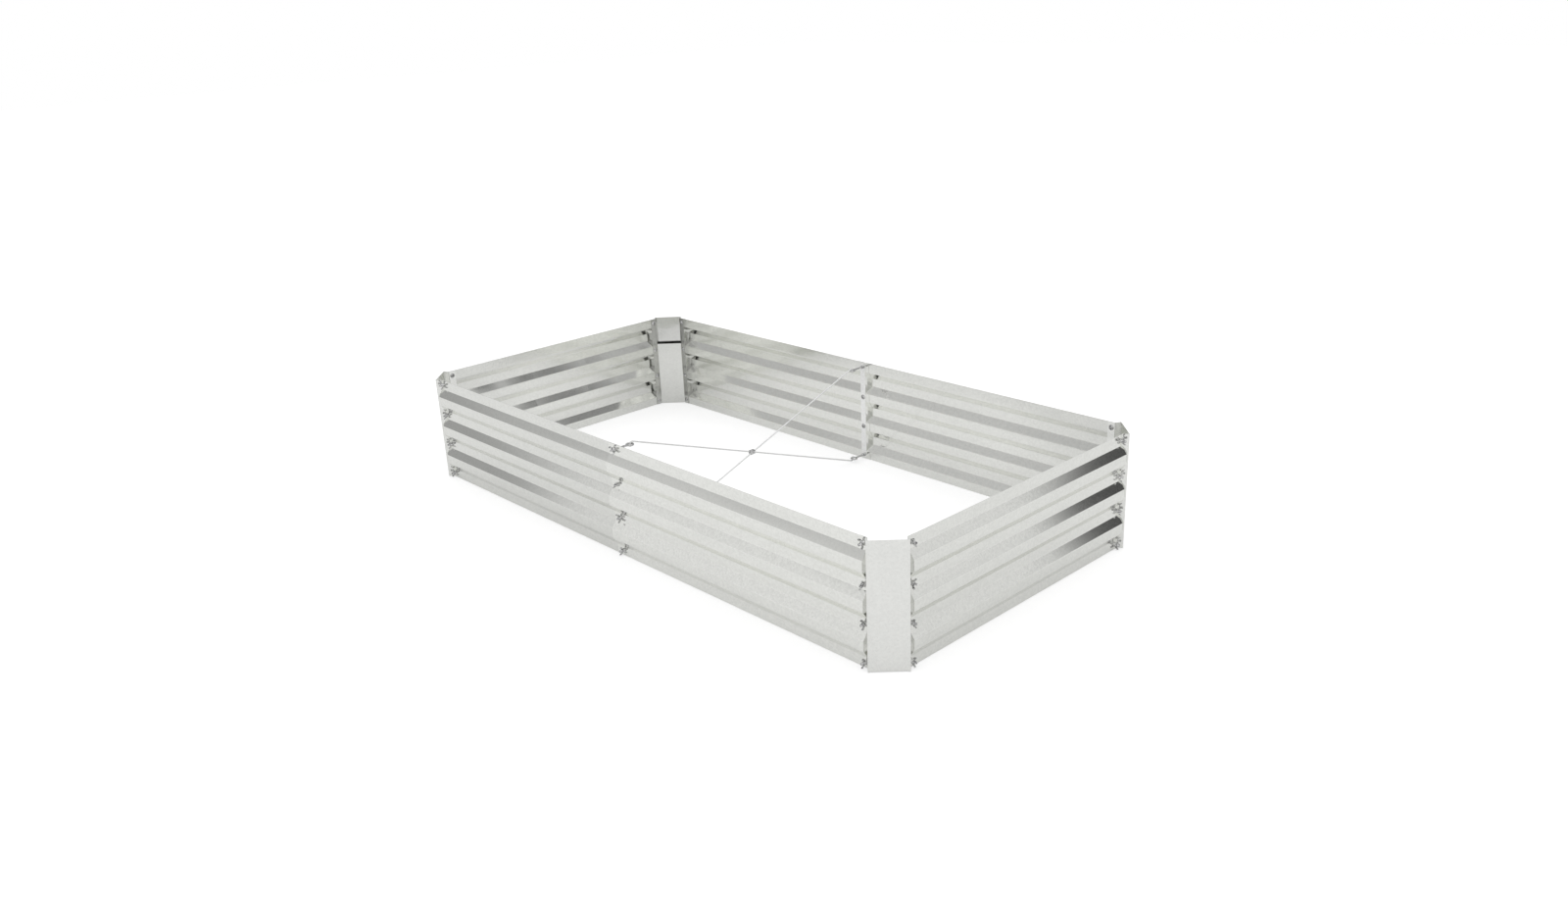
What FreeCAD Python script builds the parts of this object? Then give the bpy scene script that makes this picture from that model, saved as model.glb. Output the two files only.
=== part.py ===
import FreeCAD, Part
import math
import os

# Raised garden bed: six ribbed steel panels, four folded corner posts with inner corner
# plates, a joint bar at the middle of each long side, and two crossed tie rods.
# Frame: origin on the ground at the middle of the bed, +X along the long sides,
# +Y to the back, +Z up. Millimetres.

# ---- driving dimensions -------------------------------------------------------------

# overall
bed_length = 1800.0        # between the inner faces of the two end walls
bed_width = 900.0          # between the inner faces of the two long walls
wall_height = 300.0

# ribbed panels, read from the top edge down
panel_sheet = 0.8          # thickness of the rolled sheet
rim_height = 29.0          # flat above the first rib
foot_height = 25.0         # flat below the last rib
rib_count = 3
rib_depth = 13.5           # how far a rib stands out from the flats
rib_slope_height = 20.0    # height taken by each slanting side of a rib
rib_crest_height = 25.0    # height of the flat outer face of a rib
rib_bend_radius = 3.0      # inner radius where the sheet turns
panel_lap = 44.0           # how far the two panels of a long side overlap
lap_clearance = 0.1        # air between the lapped slopes
panel_end_gap = 2.0        # from the bend of a corner post to the end of a panel

# corner posts, measured from the corner where the inner faces of two walls would meet
post_sheet = 1.0
post_bend = 57.5           # where the flange turns out of the wall
post_face_inset = 50.0     # where the slanting face starts, along the wall
post_face_standoff = 15.0  # how far the edge of the face stands out from the wall
post_flange_width = 20.0
post_bend_radius = 1.5
lip_width = 9.0            # bottom lip, turned in under the face
lip_bend_radius = 3.0
lip_relief = 5.0           # notch between the lip and each side of the face

# inner corner plates, bolted over the lower rows of the posts' flanges
plate_sheet = 0.8
plate_above_bolt = 18.5    # top edge above the highest bolt that holds the plate
plate_bend_radius = 1.5

# joint bars
bar_width = 18.0
bar_thickness = 2.0
bar_end_gap = 5.0          # from the bar to the top and to the ground

# small fasteners: a screw inside, a wing nut outside
screw_radius = 3.0
screw_length = 16.0        # under the head
head_radius = 7.0
head_height = 3.4
head_crown_radius = 4.5
bore_clearance = 0.15
nut_hub_radius = 5.5
nut_hub_top_radius = 4.5
nut_hub_height = 7.0
wing_span = 24.0
wing_height = 12.5
wing_thickness = 2.2
wing_root = 1.0            # height above the seat at which a wing leaves the hub
wing_tip_depth = 6.0       # depth of a wing at its outer end
wing_lean = 24.0           # degrees that the wings turn from upright, from row to row

# crossed tie rods and their eye bolts
eye_reach = 46.0           # from the inner face of the wall to the centre of the eye
eye_ring_radius = 8.5      # to the middle of the eye's wire
eye_wire_radius = 2.5
eye_shank_past_seat = 13.0 # shank beyond the outer face of the wall
eye_nut_radius = 5.8
eye_nut_height = 5.0
rod_radius = 2.0
rod_gap = 0.4              # between the two rods where they cross
hook_clearance = 0.8       # between a hook and the eye's wire
hook_tail = 7.0
clamp_length = 14.0
clamp_wall = 1.2
clamp_clearance = 0.2

# the small round parts are drawn with flats, because there are so many of them
shank_flat_count = 6
head_flat_count = 8
hub_flat_count = 6
rod_flat_count = 6
eye_flat_count = 6
eye_step_count = 14        # straight steps round the eye

# ---- derived dimensions --------------------------------------------------------------

rib_height = 2 * rib_slope_height + rib_crest_height
valley_height = (wall_height - rim_height - foot_height - rib_count * rib_height) / (rib_count - 1)
rib_pitch = rib_height + valley_height
slope_angle = math.atan2(rib_depth, rib_slope_height)

# the right panels lie over the left ones, so they and their posts stand a little further out
lap_lift = panel_sheet / math.cos(slope_angle) + lap_clearance

# one row of bolts in the middle of every flat, from the bottom up
valley_rows = [
    wall_height - rim_height - rib_pitch * rib + valley_height / 2
    for rib in range(rib_count - 1, 0, -1)
]
bolt_rows = [foot_height / 2] + valley_rows + [wall_height - rim_height / 2]
plate_rows = bolt_rows[:-1]
plate_height = plate_rows[-1] + plate_above_bolt

half_length = bed_length / 2
half_width = bed_width / 2
panel_end = post_bend + panel_end_gap
post_bolt = post_bend + post_flange_width / 2
joint_seat = lap_lift + panel_sheet
eye_bolt_rows = [bolt_rows[0], bolt_rows[-1]]
joint_screw_rows = bolt_rows[1:-1]
rod_offset = rod_radius + rod_gap / 2
crossing_height = sum(eye_bolt_rows) / 2

up = FreeCAD.Vector(0, 0, 1)
outward = FreeCAD.Vector(0, 1, 0)


# ---- helpers for bent sheet -----------------------------------------------------------

def point(pair):
    """A section point, drawn flat in the XY plane."""
    return FreeCAD.Vector(pair[0], pair[1], 0)


def unit(start, end):
    step = end - start
    return step / step.Length


def left_of(direction):
    return FreeCAD.Vector(-direction.y, direction.x, 0)


def offset_path(points, distance):
    """The same path moved to its left by a distance, mitred at each corner."""
    steps = [unit(a, b) for a, b in zip(points, points[1:])]
    shifted = [points[0] + left_of(steps[0]) * distance]
    for corner, before, after in zip(points[1:], steps, steps[1:]):
        across = left_of(before) + left_of(after)
        reach = distance / (1 + before.dot(after))
        shifted.append(corner + across * reach)
    shifted.append(points[-1] + left_of(steps[-1]) * distance)
    return shifted


def rounded_path(points, left_radius, right_radius):
    """Edges along a path, with an arc at each corner: one radius for left turns, one for right."""
    edges = []
    start = points[0]
    for before, corner, after in zip(points, points[1:], points[2:]):
        arrive = unit(before, corner)
        leave = unit(corner, after)
        turn = arrive.getAngle(leave)
        turns_left = left_of(arrive).dot(leave) > 0
        radius = left_radius if turns_left else right_radius
        reach = radius * math.tan(turn / 2)
        first = corner - arrive * reach
        last = corner + leave * reach
        inward = (leave - arrive) / (leave - arrive).Length
        middle = corner + inward * (radius / math.cos(turn / 2) - radius)
        edges.append(Part.LineSegment(start, first).toShape())
        edges.append(Part.Arc(first, middle, last).toShape())
        start = last
    edges.append(Part.LineSegment(start, points[-1]).toShape())
    return edges


def sheet_section(points, thickness, bend_radius):
    """Face of a bent sheet that lies to the left of its path, with true concentric bends."""
    near = [point(pair) for pair in points]
    far = offset_path(near, thickness)
    edges = rounded_path(near, bend_radius + thickness, bend_radius)
    edges += rounded_path(far, bend_radius, bend_radius + thickness)
    edges.append(Part.LineSegment(near[0], far[0]).toShape())
    edges.append(Part.LineSegment(near[-1], far[-1]).toShape())
    return Part.Face(Part.Wire(Part.__sortEdges__(edges)))


def turned(shape, axis, degrees):
    return shape.rotated(FreeCAD.Vector(0, 0, 0), axis, degrees)


def moved(shape, x=0, y=0, z=0):
    return shape.translated(FreeCAD.Vector(x, y, z))


# ---- helpers for fasteners: each one stands at the origin and points along +Y -----------

def ring_of_points(radius, sides, height):
    """Corners of a regular polygon round the Y axis."""
    turns = [2 * math.pi * step / sides for step in range(sides)]
    return [FreeCAD.Vector(radius * math.cos(turn), height, radius * math.sin(turn)) for turn in turns]


def flat_face(corners):
    return Part.Face(Part.makePolygon(corners + corners[:1]))


def flat_band(first, last):
    """Flat faces between two rings of points, side by side."""
    first_next = first[1:] + first[:1]
    last_next = last[1:] + last[:1]
    return [flat_face(list(corners)) for corners in zip(first, first_next, last_next, last)]


def tapered_prism(sides, start_radius, end_radius, start, end):
    """Solid with flat sides round the Y axis, from one distance to another."""
    first = ring_of_points(start_radius, sides, start)
    last = ring_of_points(end_radius, sides, end)
    faces = [flat_face(first), flat_face(last)] + flat_band(first, last)
    return Part.makeSolid(Part.Shell(faces))


def clear_radius(radius):
    """Corner radius of a flat-sided bore that clears a round of this radius at any turn."""
    return (radius + bore_clearance) / math.cos(math.pi / shank_flat_count)


def bore(start, end):
    """Material taken out for a screw or an eye bolt."""
    size = clear_radius(screw_radius)
    return tapered_prism(shank_flat_count, size, size, start, end)


def screw(seat):
    """Truss-head screw whose head bears on the inside of the stack, at this distance."""
    head = tapered_prism(head_flat_count, head_crown_radius, head_radius, seat - head_height, seat)
    shank = tapered_prism(shank_flat_count, screw_radius, screw_radius, seat, seat + screw_length)
    return head.fuse(shank)


def wing():
    """One wing of a wing nut, rising outward from the hub."""
    half_span = wing_span / 2
    tip_low = wing_height - wing_tip_depth
    outline = [
        (screw_radius, wing_root),
        (half_span, tip_low),
        (half_span - wing_thickness, wing_height),
        (screw_radius, nut_hub_height - wing_root),
    ]
    face = flat_face([FreeCAD.Vector(x, y, -wing_thickness / 2) for x, y in outline])
    return face.extrude(up * wing_thickness)


def wing_nut(seat, lean):
    """Wing nut seated on the outside of the stack; the lean turns its wings from upright."""
    hub = tapered_prism(hub_flat_count, nut_hub_radius, nut_hub_top_radius, 0, nut_hub_height)
    one_wing = wing()
    other_wing = turned(one_wing, outward, 180)
    nut = hub.multiFuse([one_wing, other_wing]).cut(bore(-nut_hub_height, wing_height))
    nut = turned(nut, outward, 90 + lean)
    return moved(nut, y=seat)


def row_lean(row):
    """Wings lean one way and the other by turns, a little more in each row."""
    side = 1 if row % 2 else -1
    return side * wing_lean * (row + 1) / len(bolt_rows)


# ---- ribbed panels ----------------------------------------------------------------------

def panel_profile():
    """Inner face of a wall from the ground up, as distance outward and height."""
    path = [(0, wall_height)]
    for rib in range(rib_count):
        top = wall_height - rim_height - rib_pitch * rib
        path.append((0, top))
        path.append((rib_depth, top - rib_slope_height))
        path.append((rib_depth, top - rib_slope_height - rib_crest_height))
        path.append((0, top - rib_height))
    path.append((0, 0))
    return path


def panel(start, end, bolt_columns):
    """Ribbed panel along +X, its ribs standing out towards +Y, with a row of holes per column."""
    section = sheet_section(panel_profile(), panel_sheet, rib_bend_radius)
    solid = turned(turned(section, FreeCAD.Vector(1, 0, 0), 90), up, 90).extrude(
        FreeCAD.Vector(end - start, 0, 0))
    solid = moved(solid, x=start)
    drill = bore(-panel_sheet, 2 * panel_sheet)
    holes = [moved(drill, x=column, z=row) for column in bolt_columns for row in bolt_rows]
    return solid.cut(holes)


# each wall: the turn that brings +Y to its outward side, and the middle of its inner face
walls = {
    "front": (180, 0, -half_width),
    "back": (0, 0, half_width),
    "left": (90, -half_length, 0),
    "right": (-90, half_length, 0),
}


def on_wall(shape, wall):
    turn, x, y = walls[wall]
    return moved(turned(shape, up, turn), x, y)


def long_side_panel(wall, side):
    """Half of a long wall. The right half lies outside the left one at the lap."""
    lift = lap_lift if side == "right" else 0
    reach = half_length - panel_end
    bolts = [0, half_length - post_bolt]
    solid = moved(panel(-panel_lap / 2, reach, bolts), y=lift)
    # the panel is drawn towards +X of its wall: the back wall's right half, the front wall's left
    drawn_side = "right" if wall == "back" else "left"
    if side != drawn_side:
        solid = solid.mirror(FreeCAD.Vector(0, 0, 0), FreeCAD.Vector(1, 0, 0))
    return on_wall(solid, wall)


def end_panel(wall):
    lift = lap_lift if wall == "right" else 0
    reach = half_width + lift - panel_end
    bolt = half_width + lift - post_bolt
    return on_wall(panel(-reach, reach, [-bolt, bolt]), wall)


# ---- corners: drawn with the two walls along +X and +Y from the origin --------------------

# each corner: its turn, and which way it lies along X and Y
corners = {
    "front_left": (0, -1, -1),
    "front_right": (90, 1, -1),
    "back_right": (180, 1, 1),
    "back_left": (270, -1, 1),
}


def in_corner(shape, corner):
    turn, side_x, side_y = corners[corner]
    lift = lap_lift if side_x > 0 else 0
    return moved(turned(shape, up, turn), side_x * half_length, side_y * (half_width + lift))


def on_both_flanges(shape):
    """A thing drawn along +Y, stood at the bolt column of each flange, pointing out of the bed."""
    along_x = moved(turned(shape, up, 180), x=post_bolt)
    along_y = moved(turned(shape, up, 90), y=post_bolt)
    return [along_x, along_y]


def bottom_lip():
    """Lip turned in along the bottom of the slanting face, drawn along X with +Y into the bed."""
    bend_top = lip_bend_radius + 2 * post_sheet
    face_reach = post_face_inset + post_face_standoff
    face_width = math.hypot(face_reach, face_reach)
    length = face_width - 2 * lip_relief
    path = [(0, bend_top), (0, 0), (lip_width, 0)]
    section = turned(sheet_section(path, post_sheet, lip_bend_radius), FreeCAD.Vector(1, 0, 0), 90)
    lip = turned(section, up, 90).extrude(FreeCAD.Vector(length, 0, 0))
    lip = moved(lip, x=-length / 2)
    cleared = Part.makeBox(length, 3 * post_sheet, bend_top)
    cleared = moved(cleared, x=-length / 2, y=-post_sheet)
    middle = (post_face_inset - post_face_standoff) / 2
    return [moved(turned(shape, up, -45), middle, middle) for shape in (lip, cleared)]


def corner_post():
    """One folded sheet: flange, side return, slanting face, side return, flange."""
    flange_end = post_bend + post_flange_width
    path = [
        (0, flange_end),
        (0, post_bend),
        (-post_face_standoff, post_face_inset),
        (post_face_inset, -post_face_standoff),
        (post_bend, 0),
        (flange_end, 0),
    ]
    post = sheet_section(path, post_sheet, post_bend_radius).extrude(up * wall_height)
    lip, cleared = bottom_lip()
    post = post.cut(cleared).fuse(lip)
    for row in bolt_rows:
        drill = moved(bore(-2 * post_sheet, post_sheet), z=row)
        post = post.cut(on_both_flanges(drill))
    return post.removeSplitter()


def corner_plate():
    """Plate across the inside of the corner, bolted over the flanges of the post."""
    flange_end = post_bend + post_flange_width
    path = [
        (post_sheet, flange_end),
        (post_sheet, post_bend),
        (post_bend, post_sheet),
        (flange_end, post_sheet),
    ]
    plate = sheet_section(path, plate_sheet, plate_bend_radius).extrude(up * plate_height)
    for row in plate_rows:
        drill = moved(bore(-2 * (post_sheet + plate_sheet), 0), z=row)
        plate = plate.cut(on_both_flanges(drill))
    return plate


def corner_screws():
    """Screws of both flanges: the top one bears on the post, the rest on the inner plate."""
    columns = [[], []]
    for row in bolt_rows:
        stack = post_sheet + plate_sheet if row in plate_rows else post_sheet
        for column, shape in zip(columns, on_both_flanges(moved(screw(-stack), z=row))):
            column.append(shape)
    return [Part.makeCompound(column) for column in columns]


def corner_wing_nuts():
    columns = [[], []]
    for index, row in enumerate(bolt_rows):
        nut = moved(wing_nut(panel_sheet, row_lean(index)), z=row)
        for column, shape in zip(columns, on_both_flanges(nut)):
            column.append(shape)
    return [Part.makeCompound(column) for column in columns]


# ---- middle joint of a long side: drawn along +Y outward ----------------------------------

def joint_bar():
    """Flat bar that backs the lap on the inside."""
    height = wall_height - 2 * bar_end_gap
    bar = Part.makeBox(bar_width, bar_thickness, height)
    bar = moved(bar, -bar_width / 2, -bar_thickness, bar_end_gap)
    drill = bore(-2 * bar_thickness, bar_thickness)
    return bar.cut([moved(drill, z=row) for row in bolt_rows])


def eye_ring():
    """Level ring of wire about the Z axis."""
    to_wire = FreeCAD.Vector(eye_ring_radius, 0, 0)
    section = [corner + to_wire for corner in ring_of_points(eye_wire_radius, eye_flat_count, 0)]
    rings = []
    for step in range(eye_step_count):
        turn = FreeCAD.Rotation(up, 360 * step / eye_step_count)
        rings.append([turn.multVec(corner) for corner in section])
    faces = []
    for here, after in zip(rings, rings[1:] + rings[:1]):
        faces += flat_band(here, after)
    return Part.makeSolid(Part.Shell(faces))


def eye_bolt():
    """Eye bolt with a level ring, so that a rod's hook drops through it."""
    ring = moved(eye_ring(), y=-eye_reach)
    shank_start = eye_ring_radius - eye_reach
    shank = tapered_prism(shank_flat_count, screw_radius, screw_radius,
                          shank_start, joint_seat + eye_shank_past_seat)
    hole = Part.makeCylinder(eye_ring_radius, 4 * screw_radius)
    hole = moved(hole, y=-eye_reach, z=-2 * screw_radius)
    return ring.fuse(shank.cut(hole))


def eye_bolt_nut():
    """Hexagon nut that locks an eye bolt against the joint bar."""
    nut = tapered_prism(6, eye_nut_radius, eye_nut_radius, -eye_nut_height, 0)
    nut = nut.cut(bore(-2 * eye_nut_height, eye_nut_height))
    return moved(nut, y=-bar_thickness)


# ---- crossed tie rods ---------------------------------------------------------------------

def rod_end():
    """Half of a tie rod in the YZ plane, from its middle to the tail of its upper hook.

    Returns the centre line: the long straight run, the bend over the eye's wire, the tail.
    """
    grip = rod_radius + eye_wire_radius + hook_clearance
    eye_y = -(half_width - eye_reach - eye_ring_radius)
    eye_z = (eye_bolt_rows[1] - eye_bolt_rows[0]) / 2
    wire_centre = FreeCAD.Vector(0, eye_y, eye_z)
    distance = wire_centre.Length
    # the straight run passes over the wire: it is tangent to the bend's circle
    slope = math.atan2(eye_z, -eye_y) + math.asin(grip / distance)
    along = FreeCAD.Vector(0, -math.cos(slope), math.sin(slope))
    above = FreeCAD.Vector(0, math.sin(slope), math.cos(slope))
    bend_start = wire_centre + above * grip
    half_turn = (math.pi / 2 + slope) / 2
    middle_way = along * math.sin(half_turn) + above * math.cos(half_turn)
    bend_end = wire_centre + FreeCAD.Vector(0, -grip, 0)
    tail_end = bend_end - up * hook_tail
    return bend_start, wire_centre + middle_way * grip, bend_end, tail_end


def tie_rod():
    """Rod with a hook at each end, its lower half the upper one turned half round."""
    start, middle, end, tail = rod_end()
    other_start, other_middle, other_end, other_tail = [p * -1 for p in (start, middle, end, tail)]
    path = Part.Wire([
        Part.LineSegment(tail, end).toShape(),
        Part.Arc(end, middle, start).toShape(),
        Part.LineSegment(start, other_start).toShape(),
        Part.Arc(other_start, other_middle, other_end).toShape(),
        Part.LineSegment(other_end, other_tail).toShape(),
    ])
    section = turned(flat_face(ring_of_points(rod_radius, rod_flat_count, 0)), FreeCAD.Vector(1, 0, 0), 90)
    section = moved(section, tail.x, tail.y, tail.z)
    rod = path.makePipeShell([section.OuterWire], True, False)
    return moved(rod, z=crossing_height)


def crossing_clamp():
    """Small block that holds the two rods where they cross."""
    start = rod_end()[0]
    slope = math.atan2(start.z, -start.y)
    half_depth = rod_offset + rod_radius + clamp_wall
    spread = clamp_length / 2 * math.tan(slope) + rod_radius / math.cos(slope)
    half_height = spread + clamp_wall
    block = Part.makeBox(2 * half_depth, clamp_length, 2 * half_height)
    block = moved(block, -half_depth, -clamp_length / 2, -half_height)
    long_edges = [edge for edge in block.Edges if abs(edge.tangentAt(edge.FirstParameter).y) > 0.5]
    block = block.makeChamfer(clamp_wall, long_edges)
    for side in (-1, 1):
        radius = (rod_radius + clamp_clearance) / math.cos(math.pi / rod_flat_count)
        groove = tapered_prism(rod_flat_count, radius, radius, -clamp_length, clamp_length)
        groove = turned(groove, FreeCAD.Vector(1, 0, 0), side * math.degrees(slope))
        block = block.cut(moved(groove, x=side * rod_offset))
    return moved(block, z=crossing_height)


# ---- assembly -----------------------------------------------------------------------------

nodes = {}

for wall in ("front", "back"):
    for side in ("left", "right"):
        nodes[f"{wall}_{side}_panel"] = long_side_panel(wall, side)
for wall in ("left", "right"):
    nodes[f"{wall}_end_panel"] = end_panel(wall)

post = corner_post()
plate = corner_plate()
screws = corner_screws()
wing_nuts = corner_wing_nuts()
for corner, (turn, side_x, side_y) in corners.items():
    nodes[f"{corner}_corner_post"] = in_corner(post, corner)
    nodes[f"{corner}_corner_plate"] = in_corner(plate, corner)
    sides = ("long_side", "end_side") if turn % 180 == 0 else ("end_side", "long_side")
    for side, screw_column, nut_column in zip(sides, screws, wing_nuts):
        nodes[f"{corner}_{side}_screws"] = in_corner(screw_column, corner)
        nodes[f"{corner}_{side}_wing_nuts"] = in_corner(nut_column, corner)

bar = joint_bar()
joint_screws = Part.makeCompound([moved(screw(-bar_thickness), z=row) for row in joint_screw_rows])
joint_nuts = Part.makeCompound([
    moved(wing_nut(joint_seat, 2 * row_lean(index)), z=row)
    for index, row in enumerate(bolt_rows)])
eye_bolts = []
eye_nuts = []
for wall in ("front", "back"):
    nodes[f"{wall}_joint_bar"] = on_wall(bar, wall)
    nodes[f"{wall}_joint_screws"] = on_wall(joint_screws, wall)
    nodes[f"{wall}_joint_wing_nuts"] = on_wall(joint_nuts, wall)
    for row in eye_bolt_rows:
        eye_bolts.append(on_wall(moved(eye_bolt(), z=row), wall))
        eye_nuts.append(on_wall(moved(eye_bolt_nut(), z=row), wall))
nodes["eye_bolts"] = Part.makeCompound(eye_bolts)
nodes["eye_bolt_nuts"] = Part.makeCompound(eye_nuts)

rod = tie_rod()
nodes["front_high_tie_rod"] = moved(rod, x=-rod_offset)
nodes["back_high_tie_rod"] = moved(turned(rod, up, 180), x=rod_offset)
nodes["crossing_clamp"] = crossing_clamp()

os.makedirs("parts", exist_ok=True)
for name, shape in nodes.items():
    shape.exportStep(f"parts/{name}.step")
    state = "valid" if shape.isValid() else "INVALID"
    print(name, len(shape.Solids), "solid(s)", round(shape.Volume), "mm3", state)
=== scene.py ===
# %% [markdown]
# # A galvanised raised garden bed
# The bed is a bolted frame of ribbed steel sheet, open at the top and at the bottom. Its sheets,
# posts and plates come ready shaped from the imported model, so this lesson gives them a galvanised
# finish, and then remakes the small parts (screws, wing nuts, eye bolts, lock nuts, tie rods) with
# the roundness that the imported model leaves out. Everything is in metres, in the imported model's
# own frame.

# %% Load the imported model
import math
import bmesh
import bpy
from mathutils import Matrix, Vector


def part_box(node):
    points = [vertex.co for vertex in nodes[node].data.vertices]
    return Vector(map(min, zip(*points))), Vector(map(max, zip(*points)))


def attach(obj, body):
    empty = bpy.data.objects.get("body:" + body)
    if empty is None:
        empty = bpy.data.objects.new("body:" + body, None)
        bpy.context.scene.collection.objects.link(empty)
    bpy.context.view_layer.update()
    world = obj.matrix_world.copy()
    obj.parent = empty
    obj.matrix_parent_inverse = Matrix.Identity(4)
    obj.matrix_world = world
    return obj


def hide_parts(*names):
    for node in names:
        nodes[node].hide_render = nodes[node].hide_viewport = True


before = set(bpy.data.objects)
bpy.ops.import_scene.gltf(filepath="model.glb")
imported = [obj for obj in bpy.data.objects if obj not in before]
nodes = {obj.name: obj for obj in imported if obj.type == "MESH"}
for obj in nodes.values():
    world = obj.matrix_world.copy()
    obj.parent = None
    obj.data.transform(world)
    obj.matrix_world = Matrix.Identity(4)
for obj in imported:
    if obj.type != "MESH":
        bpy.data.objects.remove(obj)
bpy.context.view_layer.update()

# %% [markdown]
# ## The bed's plan
# A fastener is only right if it sits in its hole, so the plan of the bolt holes comes first.
# The values could be read off the meshes, but a short plan with names is easier to follow, and
# each remade group is compared with the box of the node that it stands for.

# %% Sizes of the plan
half_length = 0.900
half_width = 0.450
panel_sheet = 0.0008
post_sheet = 0.0010
plate_sheet = 0.0008
bar_thickness = 0.002
bolt_rows = [0.0125, 0.10275, 0.19325, 0.2855]
eye_rows = [bolt_rows[0], bolt_rows[-1]]
crossing_height = sum(eye_rows) / 2
# From the corner where two walls would meet to the bolt column on either of them.
post_bolt = 0.0675
# The right half of each long wall laps over the left half, and stands this much further out.
lap_lift = 0.0010652
joint_seat = lap_lift + panel_sheet
print("bolt rows:", bolt_rows, "the rods cross at", round(crossing_height, 4))

# %% Where the walls and the corners stand: a turn about Z, then a place
walls = {
    "front": (180, -half_width),
    "back": (0, half_width),
}
corners = {
    "front_left": (0, -1, -1),
    "front_right": (90, 1, -1),
    "back_right": (180, 1, 1),
    "back_left": (270, -1, 1),
}


def about(axis, degrees):
    return Matrix.Rotation(math.radians(degrees), 4, axis)


def shift(x=0.0, y=0.0, z=0.0):
    return Matrix.Translation((x, y, z))


def wall_place(wall):
    turn, y = walls[wall]
    return shift(y=y) @ about("Z", turn)


def corner_places(corner):
    """The foot of each of a corner's two bolt columns, with Y pointing out of the bed."""
    turn, side_x, side_y = corners[corner]
    lift = lap_lift if side_x > 0 else 0.0
    base = shift(side_x * half_length, side_y * (half_width + lift)) @ about("Z", turn)
    first = base @ shift(x=post_bolt) @ about("Z", 180)
    second = base @ shift(y=post_bolt) @ about("Z", 90)
    names = ("long_side", "end_side") if turn % 180 == 0 else ("end_side", "long_side")
    return dict(zip(names, (first, second)))


for corner in corners:
    for side, place in corner_places(corner).items():
        print(corner, side, "column at", [round(value, 4) for value in place.translation])

# %% [markdown]
# ## Finishing a piece
# Each piece is drawn in a bmesh and ends as one object at the origin, with its place in its mesh.
# Round surfaces are shaded smooth, and edges sharper than a chosen angle stay crisp. A row of equal
# fasteners could be linked copies, but one mesh with a copy in each hole matches the node that it
# stands for.

# %% From a bmesh to a finished object
crisp_angle = math.radians(35)
weld_distance = 1e-6
as_drawn = [Matrix.Identity(4)]


def finish_piece(name, bm, material, stands_for):
    bmesh.ops.remove_doubles(bm, verts=bm.verts, dist=weld_distance)
    bmesh.ops.recalc_face_normals(bm, faces=bm.faces)
    mesh = bpy.data.meshes.new(name)
    bm.to_mesh(mesh)
    bm.free()
    mesh.materials.append(material)
    for face in mesh.polygons:
        face.use_smooth = True
    mesh.set_sharp_from_angle(angle=crisp_angle)
    piece = bpy.data.objects.new(name, mesh)
    bpy.context.scene.collection.objects.link(piece)
    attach(piece, "root")
    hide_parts(stands_for)
    low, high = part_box(stands_for)
    beyond = []
    for axis in range(3):
        values = [vert.co[axis] for vert in mesh.vertices]
        beyond += [max(values) - high[axis], low[axis] - min(values)]
    print(name, len(mesh.polygons), "faces, beyond the node's box by", round(max(beyond) * 1000, 2), "mm")


def add_copies(bm, single, places):
    """Copies of one small part into a bmesh, one per place."""
    for place in places:
        copy = single.copy()
        copy.transform(place)
        mesh = bpy.data.meshes.new("copy")
        copy.to_mesh(mesh)
        copy.free()
        bm.from_mesh(mesh)
        bpy.data.meshes.remove(mesh)


print("edges stay crisp over", round(math.degrees(crisp_angle)), "degrees")

# %% [markdown]
# ## Galvanised steel
# Sheet that was dipped in zinc shows a faint patchwork of crystals (the spangle), long soft rolling
# marks, slow clouds of tone, and slow waves that bend its reflections. One picture could hold all
# this, but nodes give it at any scale, so each effect is a small node group that every finish here
# shares, with named inputs and outputs.

# %% Small helpers for nodes
def add_node(tree, kind, **settings):
    made = tree.nodes.new(kind)
    for key, value in settings.items():
        setattr(made, key, value)
    return made


def feed(tree, socket, value):
    """A number or a row of numbers is set on the socket, and another node's output is linked."""
    if isinstance(value, (int, float, tuple)):
        socket.default_value = value
    else:
        tree.links.new(value, socket)


def math_node(tree, operation, first, second=None, clamp=False):
    made = add_node(tree, "ShaderNodeMath", operation=operation, use_clamp=clamp)
    feed(tree, made.inputs[0], first)
    if second is not None:
        feed(tree, made.inputs[1], second)
    return made.outputs[0]


def remap(tree, value, low, high, new_low, new_high):
    made = add_node(tree, "ShaderNodeMapRange", clamp=True)
    tree.links.new(value, made.inputs["Value"])
    made.inputs["From Min"].default_value = low
    made.inputs["From Max"].default_value = high
    made.inputs["To Min"].default_value = new_low
    made.inputs["To Max"].default_value = new_high
    return made.outputs["Result"]


def stretched(tree, place, factors):
    made = add_node(tree, "ShaderNodeVectorMath", operation="MULTIPLY")
    tree.links.new(place, made.inputs[0])
    feed(tree, made.inputs[1], factors)
    return made.outputs["Vector"]


def noise(tree, place, scale, detail):
    made = add_node(tree, "ShaderNodeTexNoise")
    tree.links.new(place, made.inputs["Vector"])
    feed(tree, made.inputs["Scale"], scale)
    made.inputs["Detail"].default_value = detail
    return made


def parts_of(tree, vector):
    made = add_node(tree, "ShaderNodeSeparateXYZ")
    tree.links.new(vector, made.inputs["Vector"])
    return made.outputs


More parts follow.
